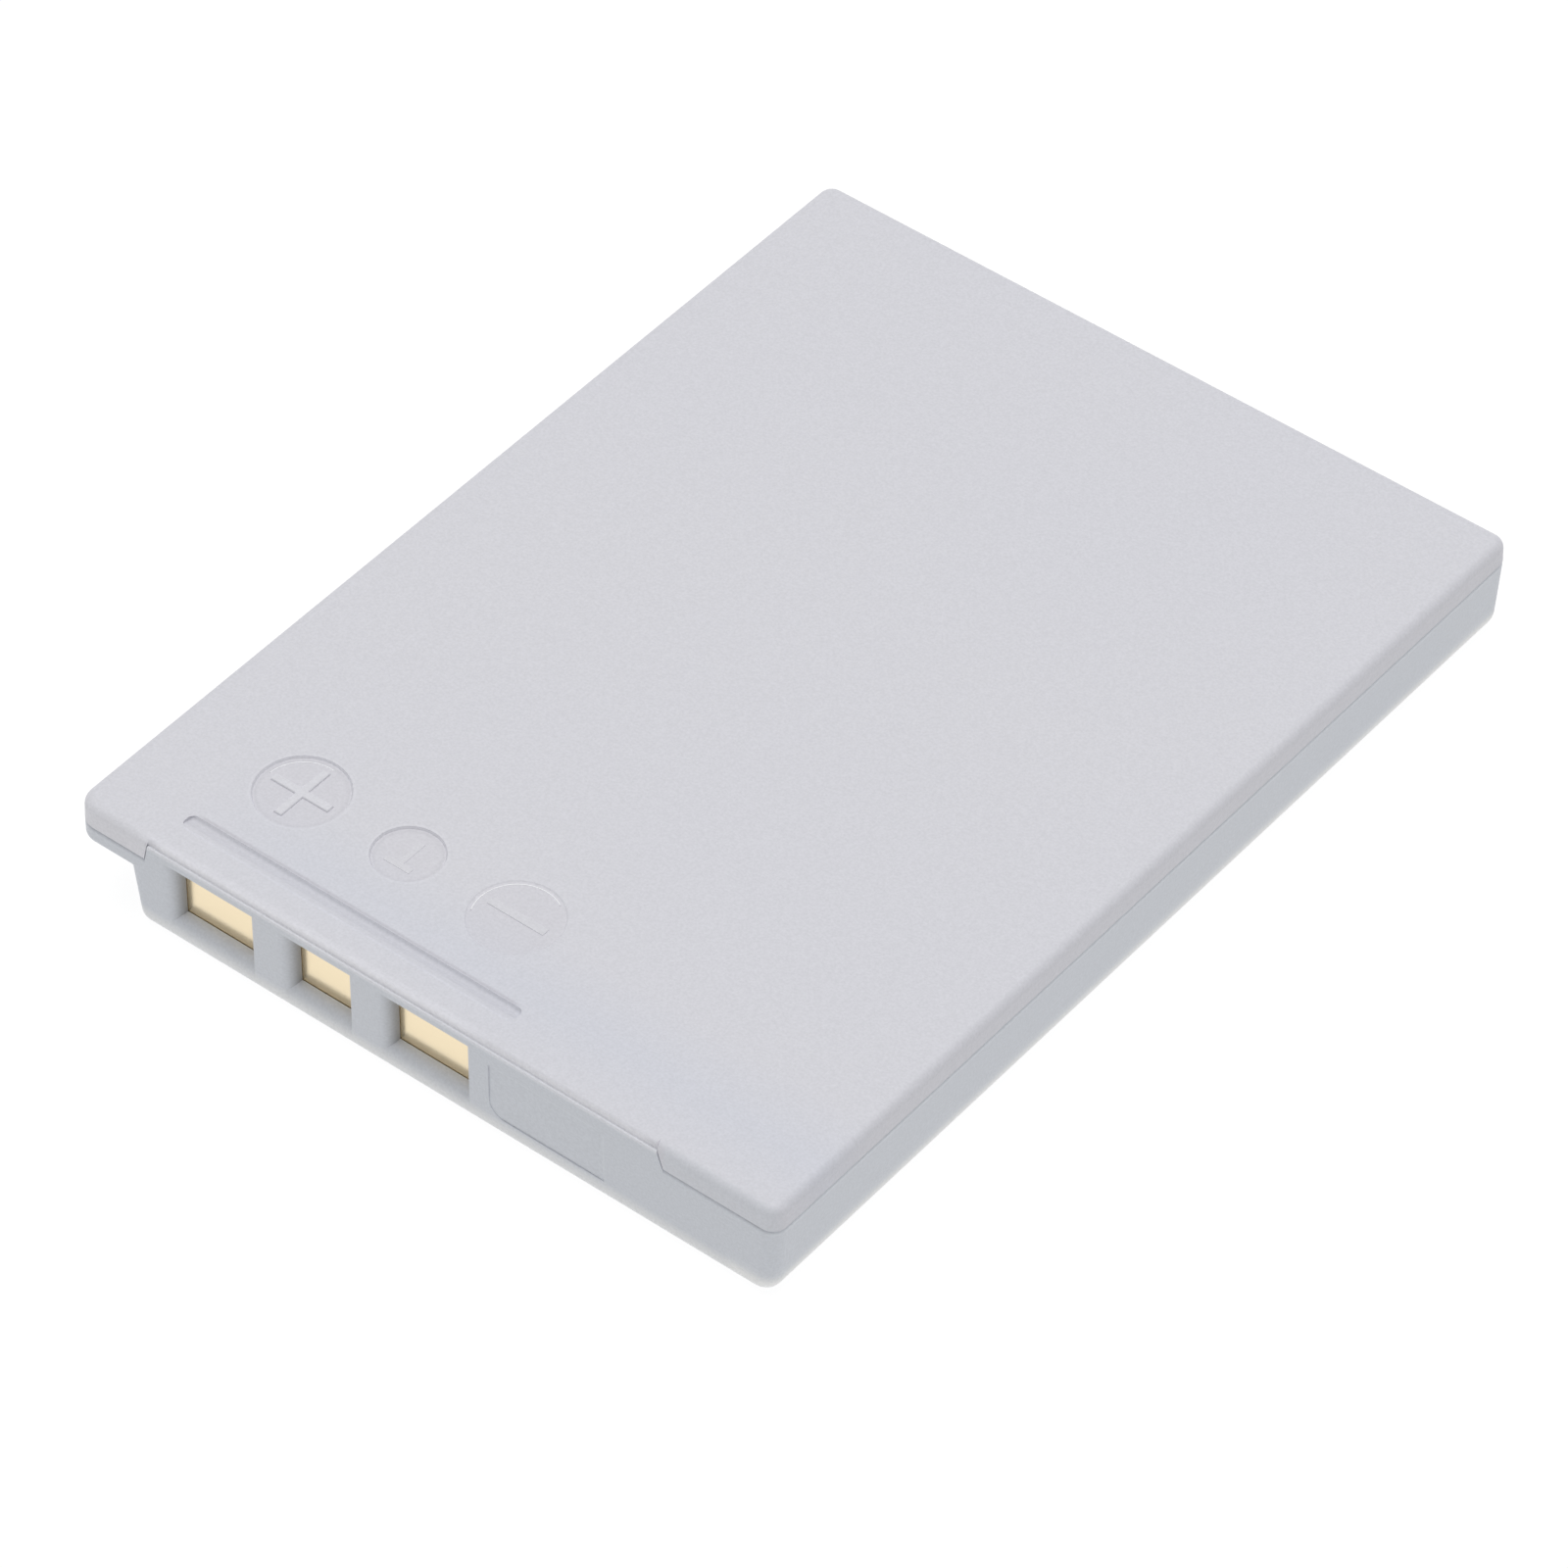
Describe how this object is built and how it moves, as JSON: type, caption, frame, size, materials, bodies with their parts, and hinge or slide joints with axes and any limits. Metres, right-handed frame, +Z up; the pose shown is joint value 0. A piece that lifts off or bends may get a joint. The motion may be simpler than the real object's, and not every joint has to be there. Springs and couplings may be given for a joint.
{
  "type": "camera battery",
  "caption": "Slim flat rectangular lithium-ion camera battery: pale grey moulded case with a side guide rail, gold contacts in windows at one end and sunken polarity marks on top.",
  "frame": {"origin": "centre of the bounding box's bottom face, on the flat underside", "axes": "+X across the contact end, away from the guide rail; +Y from the contact end to the back; +Z up from the underside to the marked top face"},
  "size_m": [0.035, 0.0472, 0.0049],
  "materials": {
    "cover_plastic": "fine matt moulded texture",
    "case_plastic": "fine matt moulded texture",
    "gold_plate": "polished gold plating",
    "board_laminate": "solder mask",
    "chip_moulding": "matt epoxy",
    "chip_ceramic": "fired ceramic",
    "can_aluminium": "drawn, satin",
    "gasket_plastic": "plain",
    "nickel": "rolled nickel strip",
    "insulating_paper": "pressed insulating paper",
    "fuse_film": "clear polymer film",
    "tape": "double sided tape"
  },
  "bodies": {
    "root": {"top_cover": "cover_plastic", "bottom_case": "case_plastic", "contact_plus": "gold_plate", "contact_thermistor": "gold_plate", "contact_minus": "gold_plate", "circuit_board": "board_laminate", "protection_chip": "chip_moulding", "mosfet_pair": "chip_moulding", "thermistor": "chip_ceramic", "chip_resistors": "chip_moulding", "chip_capacitors": "chip_ceramic", "cell": "can_aluminium", "terminal_gasket": "gasket_plastic", "terminal_rivet": "nickel", "fill_plug": "can_aluminium", "end_insulator": "insulating_paper", "positive_tab": "nickel", "negative_tab": "nickel", "thermal_fuse": "fuse_film", "fuse_lead": "nickel", "adhesive_pad_upper": "tape", "adhesive_pad_lower": "tape"}
  },
  "joints": []
}
